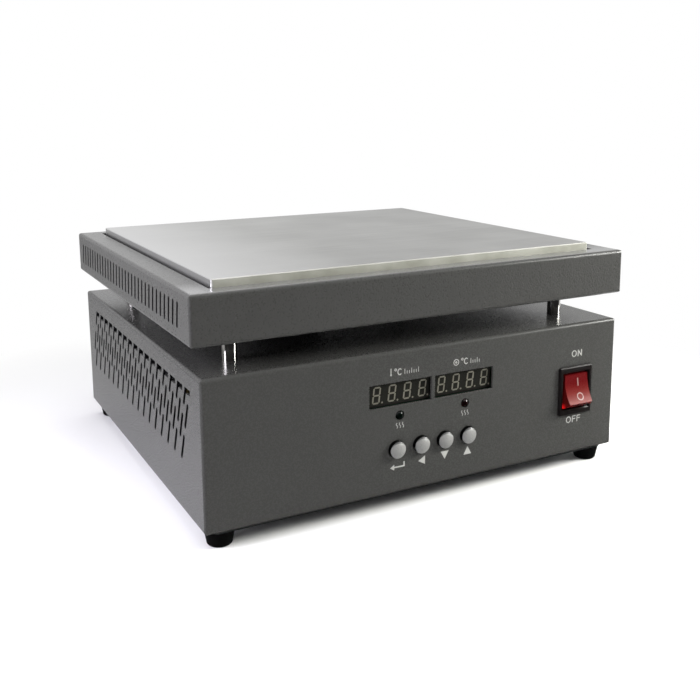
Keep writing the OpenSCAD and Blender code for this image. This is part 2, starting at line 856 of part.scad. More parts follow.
// Places of the strap screws
module strap_screw_places() {
    for (y = strap_y, i = [-2 : 2]) translate([i * run_pitch, y, 0]) children();
    for (i = [-1 : 1], s = signs)
        translate([i * run_pitch, front_run_y + s * clip_screw, 0]) children();
}

module heating_plate() {
    color("lightgray") translate([0, 0, plate_z]) difference() {
        intersection() {
            linear_extrude(height = plate_t) rounded_rect(plate_w, plate_d, plate_corner_r);
            rotate([90, 0, 0]) linear_extrude(height = plate_d, center = true) plate_profile(plate_w);
            rotate([90, 0, 90]) linear_extrude(height = plate_w, center = true)
                plate_profile(plate_d);
        }
        translate([0, 0, tube_z - plate_z]) element_path() groove_profile();
        for (s = signs) translate([s * inner_x, lead_y, tube_z - plate_z]) rotate([-90, 0, 0])
            mirror([0, 1, 0]) linear_extrude(height = drop_r + groove_r) groove_profile();
        at_corners(standoff_x, standoff_y)
            cylinder(d = plate_screw_d, h = 2 * plate_thread, center = true);
        strap_screw_places() cylinder(d = strap_screw_d, h = 2 * strap_thread, center = true);
        translate([sensor_x, sensor_y, 0])
            cylinder(d = probe_d + 2 * pin_gap, h = 2 * (probe_l + screw_end), center = true);
        translate([-sensor_x, sensor_y, 0]) ear_places()
            cylinder(d = ear_screw_d, h = 2 * ear_thread, center = true);
    }
}

module heating_element() {
    color("slategray") {
        translate([0, 0, tube_z]) element_path() circle(d = tube_d);
        for (s = signs) translate([s * inner_x, lead_y, tube_z - drop_r]) {
            rotate([90, 0, 90]) rotate_extrude(angle = 90) translate([drop_r, 0]) circle(d = tube_d);
            translate([0, drop_r, cold_end_z - tube_z + drop_r])
                cylinder(d = tube_d, h = tube_z - drop_r - cold_end_z);
        }
    }
}

module element_terminals() {
    color(brass) for (s = signs) translate([s * inner_x, terminal_y, cold_end_z]) {
        translate([0, 0, -bead_l]) cylinder(d = bead_d, h = bead_l);
        translate([0, 0, -bead_l - stud_l]) cylinder(d = tube_d / 2, h = stud_l);
    }
}

module heater_straps() {
    color(steel) translate([0, 0, strap_z]) difference() {
        union() {
            for (y = strap_y) translate([-strap_l / 2, y - strap_w / 2, 0])
                cube([strap_l, strap_w, strap_t]);
            for (i = [-1 : 1]) translate([i * run_pitch - strap_w / 2, front_run_y - clip_l / 2, 0])
                cube([strap_w, clip_l, strap_t]);
        }
        strap_screw_places() translate([0, 0, -cut])
            cylinder(d = strap_screw_d + 2 * screw_gap, h = strap_t + 2 * cut);
    }
}

module strap_screws() {
    color(steel) translate([0, 0, strap_z]) strap_screw_places() mirror([0, 0, 1])
        screw(strap_screw_d, strap_t + strap_thread - screw_end);
}

module insulation_board() {
    color("ivory") translate([0, 0, hood_z]) difference() {
        linear_extrude(height = insulation_t) rounded_rect(plate_w - 2 * insulation_inset,
            plate_d - 2 * insulation_inset, floor_chamfer);
        translate([0, 0, insulation_t]) {
            at_corners(post_x, post_y) pierce(insulation_t)
                circle(d = head_ratio * post_screw_d + 2 * seat_gap);
            at_corners(standoff_x, standoff_y) pierce(insulation_t)
                circle(d = standoff_d + 2 * seat_gap);
            translate([0, terminal_y]) pierce(insulation_t) duct_outline(-duct_seat);
            for (s = signs) translate([s * sensor_x, sensor_y]) pierce(insulation_t)
                circle(d = disc_d + ear_w);
        }
    }
}

module plate_standoffs() {
    color(steel) translate([0, 0, hood_z]) at_corners(standoff_x, standoff_y)
        spacer(standoff_d, plate_screw_d + 2 * screw_gap, standoff_l);
}

module plate_screws() {
    color(steel) translate([0, 0, tray_z]) at_corners(standoff_x, standoff_y) mirror([0, 0, 1])
        screw(plate_screw_d, tray_t + standoff_l + plate_thread - screw_end);
}

module temperature_probe() {
    head_h = 4;
    boss_h = 3;
    color(brass) translate([sensor_x, sensor_y, plate_z]) {
        cylinder(d = probe_d, h = probe_l);
        translate([0, 0, -head_h]) cylinder(d = 2 * probe_d, h = head_h, $fn = hex);
        translate([0, 0, -head_h - boss_h]) cylinder(d = probe_boss_d, h = boss_h);
    }
}

// Children at the thermostat's two ears, turned so that the screws stay clear of the grooves
module ear_places() {
    for (s = signs) rotate([0, 0, ear_turn]) translate([s * ear_pitch / 2, 0, 0]) children();
}

module overheat_thermostat() {
    color(black) translate([-sensor_x, sensor_y, plate_z]) {
        difference() {
            union() {
                translate([0, 0, -disc_h]) cylinder(d = disc_d, h = disc_h);
                translate([0, 0, -ear_t]) linear_extrude(height = ear_t)
                    rotate([0, 0, ear_turn - 90]) slot(ear_w, ear_pitch + ear_w);
            }
            ear_places() pierce(ear_t) circle(d = ear_screw_d + 2 * screw_gap);
        }
        for (s = signs) translate([0, s * disc_d / 2, tab_h - disc_h])
            cube([blade_w, disc_d / 2, blade_t], center = true);
    }
}

module thermostat_screws() {
    color(steel) translate([-sensor_x, sensor_y, plate_z - ear_t]) ear_places() mirror([0, 0, 1])
        screw(ear_screw_d, ear_t + ear_thread - screw_end);
}

module lead_duct() {
    color(steel) translate([0, terminal_y, base_top]) linear_extrude(height = post_l) difference() {
        duct_outline(duct_wall);
        duct_outline(0);
    }
}

module board_corner_places() {
    for (c = corners) translate([c.x * (board_w / 2 - board_margin), board_z
        + c.y * (board_h / 2 - board_margin), 0]) children();
}

module control_board() {
    color(board_green) on_front(0, 0) difference() {
        translate([-board_w / 2, board_z - board_h / 2, board_back]) cube([board_w, board_h, board_t]);
        board_corner_places() translate([0, 0, board_front]) pierce(board_t)
            circle(d = board_screw_d + 2 * screw_gap);
    }
}

module board_standoffs() {
    color(brass) on_front(0, 0) board_corner_places() translate([0, 0, board_front])
        spacer(board_post_d, board_screw_d, board_depth - base_sheet);
}

module board_screws() {
    color(steel) on_front(0, 0) board_corner_places() translate([0, 0, board_back])
        mirror([0, 0, 1]) screw(board_screw_d, board_t + board_depth - base_sheet - screw_end);
}

// The outline of one bar of a digit, pointed at both ends and sheared
module bar(x, y, l, upright) {
    h = bar_w / 2;
    points = [[-l / 2, 0], [h - l / 2, h], [l / 2 - h, h], [l / 2, 0], [l / 2 - h, -h],
        [h - l / 2, -h]];
    polygon([for (p = points) let (q = upright ? [p.y, p.x] : p)
        [x + q.x + (y + q.y) * digit_shear, y + q.y]]);
}

module digit() {
    w = digit_w - bar_w;
    h = digit_h - bar_w;
    for (s = [-1, 0, 1]) bar(0, s * h / 2, w - bar_gap, false);
    for (x = signs, y = signs) bar(x * w / 2, y * h / 4, h / 2 - bar_gap, true);
    translate([dot_x - h / 2 * digit_shear, -h / 2]) circle(d = dot_d);
}

// The four digits of a display, drawn on its face
module digits() {
    for (i = [0 : 3]) translate([(i - 1.5) * digit_pitch + digit_shift, digit_rise]) digit();
}

module display(side) {
    on_front(controls_x + side * display_pitch / 2, display_z) difference() {
        translate([-display_w / 2, -display_h / 2, board_front])
            cube([display_w, display_h, board_depth - display_recess]);
        translate([0, 0, -display_recess - bar_depth]) linear_extrude(height = bar_depth + cut)
            digits();
    }
}

module display_actual() {
    color(black) display(-1);
}

module display_set() {
    color(black) display(1);
}

module display_segments() {
    color("tan") for (s = signs) on_front(controls_x + s * display_pitch / 2, display_z)
        translate([0, 0, -display_recess - bar_depth]) linear_extrude(height = bar_depth) digits();
}

// An indicator lamp: collar on the board, barrel and domed tip
module led(side) {
    collar_h = 1;
    collar_lip = 0.4;
    tip = 1.2;
    on_front(controls_x + side * led_x, led_z) {
        translate([0, 0, board_front]) cylinder(d = led_d + 2 * collar_lip, h = collar_h);
        translate([0, 0, board_front]) cylinder(d = led_d, h = board_depth + tip - led_d / 2);
        translate([0, 0, tip - led_d / 2]) sphere(d = led_d);
    }
}

module led_heating() {
    color("darkgreen") led(-1);
}

module led_overheat() {
    color("darkred") led(1);
}

module tact_switches() {
    color(black) for (x = button_xs) on_front(x, button_z) difference() {
        translate([-tact_w / 2, -tact_w / 2, board_front]) cube([tact_w, tact_w, tact_h]);
        translate([0, 0, board_front + tact_h - tact_well])
            cylinder(d = plunger_d + 2 * plunger_gap, h = tact_well + cut);
    }
}

// A domed cap with the collar that keeps it behind the panel and its plunger
module button(index) {
    r = button_d / 2;
    collar = base_sheet + seat_gap;
    dome_r = (r * r + button_dome * button_dome) / (2 * button_dome);
    color(steel) on_front(button_xs[index], button_z) {
        translate([0, 0, -collar]) rotate_extrude() intersection() {
            union() {
                square([r, button_proud + collar - button_edge]);
                square([r - button_edge, button_proud + collar]);
                translate([r - button_edge, button_proud + collar - button_edge])
                    circle(r = button_edge);
            }
            translate([0, button_proud + collar - dome_r]) circle(r = dome_r);
            square([r, button_proud + collar]);
        }
        translate([0, 0, -collar - flange_t])
            cylinder(d = button_d + 2 * button_ring + 2 * flange_reach, h = flange_t);
        translate([0, 0, board_front + tact_h - plunger_grip])
            cylinder(d = plunger_d, h = board_depth - tact_h + plunger_grip - collar - flange_t + eps);
    }
}

module button_set() {
    button(0);
}

module button_left() {
    button(1);
}

module button_down() {
    button(2);
}

module button_up() {
    button(3);
}

module switch_housing() {
    color(black) on_front(switch_x, switch_z) {
        difference() {
            union() {
                intersection() {
                    linear_extrude(height = bezel_t) rounded_rect(bezel_w, bezel_h, latch_t);
                    flared(bezel_w + 2 * (bezel_t - bezel_chamfer),
                        bezel_h + 2 * (bezel_t - bezel_chamfer), -bezel_t, bezel_t);
                }
                translate([-switch_w / 2, -switch_h / 2, -switch_depth])
                    cube([switch_w, switch_h, switch_depth + eps]);
            }
            translate([-window_w / 2, -window_h / 2, -well_depth])
                cube([window_w, window_h, well_depth + bezel_t + cut]);
            translate([0, 0, bezel_t - bezel_chamfer])
                flared(window_w, window_h, 2 * bezel_chamfer, 2 * bezel_chamfer);
            translate([0, 0, -pivot_depth]) rotate([0, 90, 0])
                cylinder(d = pivot_d + 2 * pin_gap, h = window_w + 2 * (pin_l + pin_gap), center = true);
        }
        for (s = signs) translate([-latch_l / 2, 0, 0]) rotate([90, 0, 90])
            linear_extrude(height = latch_l)
                polygon([[s * (switch_h / 2 - eps), -base_sheet - thread_gap - latch_rise],
                    [s * (switch_h / 2 + latch_t), -base_sheet - thread_gap],
                    [s * (switch_h / 2 - eps), -base_sheet - thread_gap]]);
    }
}

// The rocker's side view: round ends, flat back and hollow face
module rocker_profile() {
    chord = sqrt(rocker_r * rocker_r - rocker_reach * rocker_reach);
    face_r = (chord * chord + rocker_dip * rocker_dip) / (2 * rocker_dip);
    difference() {
        intersection() {
            circle(r = rocker_r);
            translate([-rocker_r, -rocker_back])
                square([2 * rocker_r, rocker_back + rocker_reach]);
        }
        translate([0, rocker_reach - rocker_dip + face_r]) circle(r = face_r);
    }
}

module switch_rocker() {
    rocker_w = window_w - 2 * rocker_gap;
    half = rocker_w / 2;
    beyond = rocker_face_w - half;
    color("red") on_front(switch_x, switch_z) translate([0, 0, -pivot_depth])
        rotate([90, 0, 90]) rotate(-rocker_tilt) {
            intersection() {
                linear_extrude(height = rocker_w + 2 * cut, center = true) rocker_profile();
                rotate([0, 90, 0]) linear_extrude(height = 3 * rocker_r, center = true)
                    polygon([[-half, -rocker_r], [half, -rocker_r], [half, 0],
                        [beyond, 2 * rocker_reach], [-beyond, 2 * rocker_reach], [-half, 0]]);
            }
            cylinder(d = pivot_d, h = window_w + 2 * pin_l, center = true);
        }
}

module switch_terminals() {
    rows = [-1, 0, 1];
    color(steel) on_front(switch_x, switch_z) for (s = signs, row = rows)
        translate([s * switch_w / 4, row * switch_h / 3, -switch_depth - blade_l / 2])
            cube([blade_t, blade_w, blade_l], center = true);
}

module socket_outline() {
    w = socket_w / 2;
    h = socket_h / 2;
    c = socket_chamfer;
    polygon([[-w, -h], [w, -h], [w, h - c], [w - c, h], [c - w, h], [-w, h - c]]);
}

// The three prongs as they run through the inlet's body
module prongs(l) {
    for (p = [[-prong_pitch / 2, -prong_offset], [0, prong_offset], [prong_pitch / 2, -prong_offset]])
        translate([p.x - prong_w / 2, p.y - prong_h / 2, 0]) cube([prong_w, prong_h, l]);
}

module inlet_body() {
    color(black) on_back(inlet_x, inlet_z) difference() {
        union() {
            linear_extrude(height = inlet_flange_t) rounded_rect(inlet_flange_w, inlet_flange_h,
                inlet_corner_r);
            translate([-inlet_w / 2, -inlet_h / 2, -inlet_depth])
                cube([inlet_w, inlet_h, inlet_depth + eps]);
        }
        translate([0, 0, inlet_flange_t - socket_depth]) linear_extrude(height = socket_depth + cut)
            socket_outline();
        translate([0, 0, -inlet_depth - cut]) prongs(inlet_depth + cut);
        for (s = signs) translate([s * inlet_screw_pitch / 2, 0, -cut])
            cylinder(d = inlet_screw_d + 2 * screw_gap, h = inlet_flange_t + 2 * cut);
    }
}

module inlet_pins() {
    color(brass) on_back(inlet_x, inlet_z) translate([0, 0, -inlet_depth - blade_l])
        prongs(inlet_depth + blade_l + inlet_flange_t - prong_inset);
}

module inlet_screws() {
    l = inlet_flange_t + base_sheet + inlet_screw_d;
    color(steel) on_back(inlet_x, inlet_z) for (s = signs)
        translate([s * inlet_screw_pitch / 2, 0, inlet_flange_t]) screw(inlet_screw_d, l);
}

module inlet_nuts() {
    color(steel) on_back(inlet_x, inlet_z) for (s = signs)
        translate([s * inlet_screw_pitch / 2, 0, -base_sheet]) mirror([0, 0, 1]) nut(inlet_screw_d);
}

module at_power_corners() {
    translate([power_x, power_y, 0]) at_corners(power_w / 2 - power_margin, power_d / 2 - power_margin)
        children();
}

module power_board() {
    color(board_green) difference() {
        translate([power_x - power_w / 2, power_y - power_d / 2, power_z])
            cube([power_w, power_d, board_t]);
        at_power_corners() translate([0, 0, power_top]) pierce(board_t)
            circle(d = board_screw_d + 2 * screw_gap);
    }
}

module power_standoffs() {
    color(brass) translate([0, 0, floor_z]) at_power_corners()
        spacer(2 * board_screw_d, board_screw_d, power_lift);
}

module power_screws() {
    color(steel) at_power_corners() {
        translate([0, 0, power_top]) screw(board_screw_d, board_t + power_lift / 2 - thread_gap);
        translate([0, 0, floor_z - floor_t]) mirror([0, 0, 1])
            screw(board_screw_d, floor_t + power_lift / 2 - thread_gap);
    }
}

module transformer_core() {
    color("gray") translate([core_x, core_y, power_top + winding_gap]) difference() {
        translate([-core_w / 2, -core_d / 2, 0]) cube([core_w, core_d, core_h]);
        for (s = signs) translate([s * core_w / 4 - limb / 2, -core_d / 2 - cut, limb])
            cube([limb, core_d + 2 * cut, core_h - 2 * limb]);
    }
}

module transformer_winding() {
    h = core_h - 2 * limb;
    w = 2 * limb + core_w / 2 - limb;
    foot_w = core_w - limb;
    color("khaki") translate([core_x, core_y, power_top]) difference() {
        union() {
            translate([-w / 2, -core_d / 2 - limb, winding_gap + limb]) cube([w, core_d + 2 * limb, h]);
            for (s = signs) translate([-foot_w / 2, s * (core_d + limb) / 2 - limb / 2, 0])
                cube([foot_w, limb, winding_gap + limb + eps]);
        }
        translate([-core_w / 4 + limb / 2, -core_d / 2, winding_gap + limb - cut])
            cube([core_w / 2 - limb, core_d, h + 2 * cut]);
    }
}

module power_relay() {
    color("royalblue") translate([power_x + power_w / 4, power_y - power_d / 5,
        power_top + relay_size.z / 2]) cube(relay_size, center = true);
}

module fuse() {
    clip_h = fuse_lift + fuse_d / 2;
    color("lightgray") translate([power_x + power_w / 4, power_y + power_d / 6, power_top]) {
        translate([0, 0, clip_h]) rotate([0, 90, 0])
            cylinder(d = fuse_d, h = fuse_l, center = true);
        for (s = signs) translate([s * fuse_l / 2, 0, clip_h / 2])
            cube([fuse_d, fuse_d, clip_h], center = true);
    }
}

module heat_sink() {
    fins = floor((sink_l - fin_t) / fin_pitch);
    color("gray") translate([sink_x, sink_y - sink_l / 2, floor_z]) difference() {
        linear_extrude(height = sink_h) {
            square([sink_base_t, sink_l]);
            for (i = [0 : fins]) translate([0, i * fin_pitch]) square([sink_base_t + fin_l, fin_t]);
        }
        for (s = signs) translate([sink_base_t / 2, sink_l / 2 + s * sink_l / 3, 0])
            cylinder(d = board_screw_d, h = 2 * floor_thread, center = true);
    }
}

module power_triac() {
    color(black) translate([sink_x - triac_t / 2, sink_y, floor_z + sink_h / 2]) {
        translate([0, 0, triac_h / 2]) cube([triac_t, triac_w, triac_h], center = true);
        for (i = [-1 : 1]) translate([0, i * triac_pitch, -triac_lead / 2])
            cube([blade_t, blade_t, triac_lead + eps], center = true);
    }
}

module at_block_ways() {
    for (i = [0 : block_ways - 1])
        translate([block_x + (i - (block_ways - 1) / 2) * block_pitch, block_y, 0]) children();
}

module terminal_block() {
    color("ivory") translate([0, 0, floor_z]) difference() {
        translate([block_x, block_y, block_h / 2]) cube([block_l, block_w, block_h], center = true);
        for (s = signs) translate([block_x + s * (block_l - block_ear) / 2, block_y, 0]) {
            cylinder(d = board_screw_d, h = 2 * block_h, center = true);
            translate([s * cut, 0, block_h])
                cube([block_ear + 2 * cut, block_w + 2 * cut, block_h], center = true);
        }
        at_block_ways() translate([0, 0, block_h])
            cube([block_pitch - block_wall, block_w + 2 * cut, 2 * block_well], center = true);
    }
}

module terminal_screws() {
    color(steel) at_block_ways() for (s = signs)
        translate([0, s * block_w / 4, floor_z + block_h - block_well])
            cylinder(d = board_screw_d, h = block_wall);
}

module floor_screws() {
    color(steel) translate([0, 0, floor_z - floor_t]) floor_screw_places()
        mirror([0, 0, 1]) screw(board_screw_d, floor_t + floor_thread - screw_end);
}

module earth_stud() {
    nut_h = nut_h_ratio * foot_screw_d;
    color(brass) translate([earth_x, earth_y, floor_z]) {
        translate([0, 0, -floor_t]) mirror([0, 0, 1]) screw(foot_screw_d, floor_t + earth_l);
        nut(foot_screw_d);
        translate([0, 0, nut_h]) spacer(2 * foot_screw_d, foot_screw_d, lug_t);
    }
}

base_housing();
bottom_plate();
bottom_screws();
rubber_feet();
foot_screws();
foot_nuts();
support_posts();
lower_post_screws();
upper_post_screws();
hood();
hood_tray();
tray_screws();
heating_plate();
heating_element();
element_terminals();
heater_straps();
strap_screws();
insulation_board();
plate_standoffs();
plate_screws();
temperature_probe();
overheat_thermostat();
thermostat_screws();
lead_duct();
control_board();
board_standoffs();
board_screws();
display_actual();
display_set();
display_segments();
led_heating();
led_overheat();
tact_switches();
button_set();
button_left();
button_down();
button_up();
switch_housing();
switch_rocker();
switch_terminals();
inlet_body();
inlet_pins();
inlet_screws();
inlet_nuts();
power_board();
power_standoffs();
power_screws();
transformer_core();
transformer_winding();
power_relay();
fuse();
heat_sink();
power_triac();
terminal_block();
terminal_screws();
floor_screws();
earth_stud();
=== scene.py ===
# %% [markdown]
# # A bench heating platform
# A thick aluminium plate is heated from below by a bent tube. It stands in an open hood of folded steel,
# four polished posts hold the hood clear of the base, and the base holds the electronics, two displays,
# four buttons and a rocker switch. Every rigid piece comes from the CAD model, at its real size. This
# script gives each one its finish, prints the signs on the panel, and sets up the light and the camera.

# %% Load the CAD model
from math import cos, pi, radians, sin, sqrt

import bmesh
import bpy
from mathutils import Matrix, Vector


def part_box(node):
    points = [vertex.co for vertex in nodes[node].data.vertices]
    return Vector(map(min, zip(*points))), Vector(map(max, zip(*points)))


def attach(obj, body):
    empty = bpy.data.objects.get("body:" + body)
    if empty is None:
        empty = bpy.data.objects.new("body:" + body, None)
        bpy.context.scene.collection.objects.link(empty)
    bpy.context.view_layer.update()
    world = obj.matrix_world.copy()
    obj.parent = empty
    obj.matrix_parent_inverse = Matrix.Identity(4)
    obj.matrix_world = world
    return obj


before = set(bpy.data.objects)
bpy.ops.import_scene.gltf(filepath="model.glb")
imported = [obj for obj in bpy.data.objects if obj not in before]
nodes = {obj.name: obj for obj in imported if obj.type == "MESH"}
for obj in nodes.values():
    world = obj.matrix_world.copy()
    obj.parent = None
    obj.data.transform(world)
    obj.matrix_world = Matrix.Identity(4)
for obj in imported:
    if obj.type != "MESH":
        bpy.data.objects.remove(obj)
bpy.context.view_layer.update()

# %% [markdown]
# ## Camera
# The photograph was matched to the edges of the base, the hood and the plate. That gave where the camera
# stood and how it looked: from the front left, ten degrees down, with a lens of about 47 mm on a 36 mm
# sensor. The picture was cropped a little above its middle, which a small vertical shift repeats.

# %% Camera
CAMERA_PLACE = (-0.27652, -0.55263, 0.22946)
CAMERA_TURN = radians(-27.81)
CAMERA_DOWN = radians(10.04)
CAMERA_ROLL = radians(-0.38)
SENSOR = 36
FOCAL_PIXELS = 916.57
PICTURE_PIXELS = 700
PIXELS_ABOVE_MIDDLE = 84


def add_camera():
    level = cos(CAMERA_DOWN)
    ahead = Vector((-sin(CAMERA_TURN) * level, cos(CAMERA_TURN) * level, -sin(CAMERA_DOWN)))
    across = ahead.cross(Vector((0, 0, 1))).normalized()
    up = across.cross(ahead)
    rolled_across = cos(CAMERA_ROLL) * across + sin(CAMERA_ROLL) * up
    rolled_up = cos(CAMERA_ROLL) * up - sin(CAMERA_ROLL) * across
    data = bpy.data.cameras.new("camera")
    data.sensor_width = SENSOR
    data.lens = FOCAL_PIXELS * SENSOR / PICTURE_PIXELS
    data.shift_y = -PIXELS_ABOVE_MIDDLE / PICTURE_PIXELS
    camera = bpy.data.objects.new("camera", data)
    turn = Matrix((rolled_across, rolled_up, -ahead)).transposed()
    camera.matrix_world = Matrix.Translation(CAMERA_PLACE) @ turn.to_4x4()
    bpy.context.scene.collection.objects.link(camera)
    bpy.context.scene.camera = camera
    return data


print("lens", round(add_camera().lens, 2), "mm")

# %% [markdown]
# ## Shader maths as Python
# A finish is a small network of nodes. Written out one by one they hide what they do, so a value that
# comes out of a node is wrapped in a class that adds a Math node for each Python operator. Everything
# that isn't plain arithmetic goes through one method of the network that owns the nodes. A finish is a
# network with a shader, and with helpers for the patterns that many finishes share.

# %% A wrapped value
class Value:
    """What comes out of a node. Arithmetic on it adds Math nodes."""

    def __init__(self, network, socket):
        self.network = network
        self.socket = socket

    def math(self, operation, *values):
        settings = {"operation": operation}
        return self.network.node("ShaderNodeMath", settings, dict(enumerate(values)))

    def __add__(self, other):
        return self.math("ADD", self, other)

    def __sub__(self, other):
        return self.math("SUBTRACT", self, other)

    def __rsub__(self, other):
        return self.math("SUBTRACT", other, self)

    def __mul__(self, other):
        return self.math("MULTIPLY", self, other)

    __radd__ = __add__
    __rmul__ = __mul__


print(Value.__name__, "turns + - * into Math nodes")

# %% A network of nodes
class Network:
    """The nodes of a material or a world, and one method that adds any node."""

    def __init__(self, tree):
        self.tree = tree

    def node(self, kind, settings=None, values=None, out=0):
        added = self.tree.nodes.new(kind)
        for name, setting in (settings or {}).items():
            setattr(added, name, setting)
        for name, value in (values or {}).items():
            if isinstance(value, Value):
                self.tree.links.new(value.socket, added.inputs[name])
            else:
                added.inputs[name].default_value = value
        return Value(self, added.outputs[out])


print(Network.__name__, "adds nodes of any kind")

# %% A finish
painted = set()


class Finish(Network):
    """A material with a Principled shader, and the patterns that the finishes below share."""

    def __init__(self, name, **settings):
        self.material = bpy.data.materials.new(name)
        self.material.use_nodes = True
        super().__init__(self.material.node_tree)
        self.shader = self.tree.nodes["Principled BSDF"]
        for socket, value in settings.items():
            self.set(socket.replace("_", " ").title().replace("Ior", "IOR"), value)

    def set(self, socket, value):
        target = self.shader.inputs[socket]
        if isinstance(value, Value):
            self.tree.links.new(value.socket, target)
        elif target.type == "RGBA":
            target.default_value = (*value[:3], 1)
        else:
            target.default_value = value

    def place(self, stretch=(1, 1, 1)):
        """Where a point lies in the object's own metres, stretched along each axis."""
        here = self.node("ShaderNodeTexCoord", out="Object")
        if stretch == (1, 1, 1):
            return here
        return self.node("ShaderNodeVectorMath", {"operation": "MULTIPLY"}, {0: here, 1: stretch})

    def dot(self, vector, axis):
        settings = {"operation": "DOT_PRODUCT"}
        return self.node("ShaderNodeVectorMath", settings, {0: vector, 1: axis}, out="Value")

    def along(self, axis):
        """How far along that axis a point lies, in metres."""
        return self.dot(self.place(), axis)

    def noise(self, size, detail=2.0, stretch=(1, 1, 1)):
        """Soft random grey with features of about that size in metres."""
        values = {"Vector": self.place(stretch), "Scale": 1 / size, "Detail": detail}
        return self.node("ShaderNodeTexNoise", None, values)

    def spread(self, value, low, high, new_low, new_high):
        """Maps low..high to new_low..new_high and clamps it there."""
        values = {0: value, 1: low, 2: high, 3: new_low, 4: new_high}
        return self.node("ShaderNodeMapRange", {"clamp": True}, values)

    def bump(self, height, depth, strength=1.0):
        """Tilts the surface as if a height of 0 to 1 stood that many metres tall."""
        values = {"Height": height, "Distance": depth, "Strength": strength}
        self.set("Normal", self.node("ShaderNodeBump", None, values))

    def mix(self, factor, first, second):
        """Blends two colours, each either plain numbers or what another blend gives. A Mix node keeps
        sockets for every type: its colours go into numbers 6 and 7 and come out of number 2."""
        first, second = (part if isinstance(part, Value) else (*part, 1) for part in (first, second))
        return self.node("ShaderNodeMix", {"data_type": "RGBA"}, {0: factor, 6: first, 7: second}, out=2)

    def shades(self, factor, colour, dark, pale):
        """That colour times dark where the factor is 0, times pale where it is 1."""
        darker, paler = (tuple(level * part for part in colour) for level in (dark, pale))
        return self.mix(factor, darker, paler)

    def vary_roughness(self, grains, middle, swing):
        """Roughness that follows a noise, a little to either side of its middle value."""
        self.set("Roughness", self.spread(grains, 0.3, 0.7, middle - swing, middle + swing))

    def facing(self, axis, low, high):
        """0 where the surface looks less than low along that axis, 1 where it looks more than high."""
        return self.spread(self.dot(self.node("ShaderNodeTexCoord", out="Normal"), axis), low, high, 0, 1)

    def paint(self, *names):
        """Puts the finish on CAD pieces."""
        for name in names:
            for slot in nodes[name].material_slots:
                slot.link = "OBJECT"
                slot.material = self.material
        painted.update(names)


print(Finish.__name__, "adds", [name for name in vars(Finish) if not name.startswith("_")])

# %% [markdown]
# ## Light
# The product stood in a white studio on white paper. Its front is lit from the front right, its left side
# by a narrow light close by, and its top by a wide one overhead. The room towards the camera was dark,
# which is why the polished posts show dark middles with pale edges. The world repeats that: it is white
# where the camera or a clear piece sees it, it lights everything softly and evenly, and a mirror sees a
# pale wall behind the product, a dimmer one at the right, a dim ceiling and a dark room in front.

# %% World
AMBIENT = 0.25
FRONT_GLOSS = 0.03
WALL_GLOSS, WALL_FROM_TO = 0.95, (-0.45, 0.60)
RIGHT_DIMMED, RIGHT_FROM_TO = 0.75, (0.20, 0.50)
CEILING_GLOSS, CEILING_FROM_TO = 0.60, (0.40, 0.90)


def add_world():
    world = bpy.data.worlds.new("studio")
    bpy.context.scene.world = world
    world.use_nodes = True
    studio = Network(world.node_tree)
    studio.tree.nodes.clear()
    direction = studio.node("ShaderNodeTexCoord", out="Generated")

    def fade(part, from_to, start, end):
        """Goes from start to end as the X, Y or Z of the direction goes through from_to."""
        way = studio.node("ShaderNodeSeparateXYZ", None, {0: direction}, out=part)
        settings = {"interpolation_type": "SMOOTHSTEP"}
        values = {0: way, 1: from_to[0], 2: from_to[1], 3: start, 4: end}
        return studio.node("ShaderNodeMapRange", settings, values)

    def glow(strength):
        return studio.node("ShaderNodeBackground", None, {"Color": (1, 1, 1, 1), "Strength": strength})

    wall = fade("Y", WALL_FROM_TO, FRONT_GLOSS, WALL_GLOSS) * fade("X", RIGHT_FROM_TO, 1, RIGHT_DIMMED)
    room = wall.math("MAXIMUM", wall, fade("Z", CEILING_FROM_TO, 0, CEILING_GLOSS))
    rays = ("Is Camera Ray", "Is Transmission Ray", "Is Glossy Ray")
    camera, clear, glossy = (studio.node("ShaderNodeLightPath", out=ray) for ray in rays)
    lit = studio.node("ShaderNodeMixShader", None, {0: glossy, 1: glow(AMBIENT), 2: glow(room)})
    seen = camera.math("MAXIMUM", camera, clear)
    final = studio.node("ShaderNodeMixShader", None, {0: seen, 1: lit, 2: glow(1)})
    output = studio.tree.nodes.new("ShaderNodeOutputWorld")
    studio.tree.links.new(final.socket, output.inputs["Surface"])


add_world()
print("the world lights at", AMBIENT, "and mirrors see", FRONT_GLOSS, "in front and", WALL_GLOSS, "behind")

# %% [markdown]
# Each lamp is a rectangle that stands at a place and looks at a point, both in metres from the middle of
# the base on the floor.

# %% Lamps
def add_softbox(name, place, aim, size, watts, colour):
    data = bpy.data.lights.new(name, "AREA")
    data.shape = "RECTANGLE"
    data.size, data.size_y = size
    data.energy = watts
    data.color = colour
    lamp = bpy.data.objects.new(name, data)
    lamp.location = place
    lamp.rotation_euler = (Vector(aim) - Vector(place)).to_track_quat("-Z", "Y").to_euler()
    lamp.visible_camera = False
    bpy.context.scene.collection.objects.link(lamp)
    print(name, watts, "W")


add_softbox("left_light", place=(-0.46, -0.11, 0.26), aim=(-0.1, -0.07, 0.07), size=(0.16, 0.3),
            watts=2.5, colour=(0.93, 0.91, 1.0))
add_softbox("top_light", place=(0.05, 0.05, 1.25), aim=(0, 0, 0.1), size=(1.2, 1.2),
            watts=9, colour=(1, 1, 1))
add_softbox("front_light", place=(0.62, -0.37, 0.36), aim=(0.05, -0.1, 0.08), size=(0.25, 0.25),
            watts=9.5, colour=(1, 1, 0.96))

# %% [markdown]
# ## Floor
# White paper that keeps the soft shadow. Its colour alone gives the white near the object, where the
# light is, and further out the camera and mirrors see it plainly white, so that no horizon shows. In a
# mirror the paper ends soon in front of the object and fades at its left, as in the dark room there. At
# the right it reaches further to the front.

# %% Floor
FLOOR_SIZE = 40
PAPER = 0.93
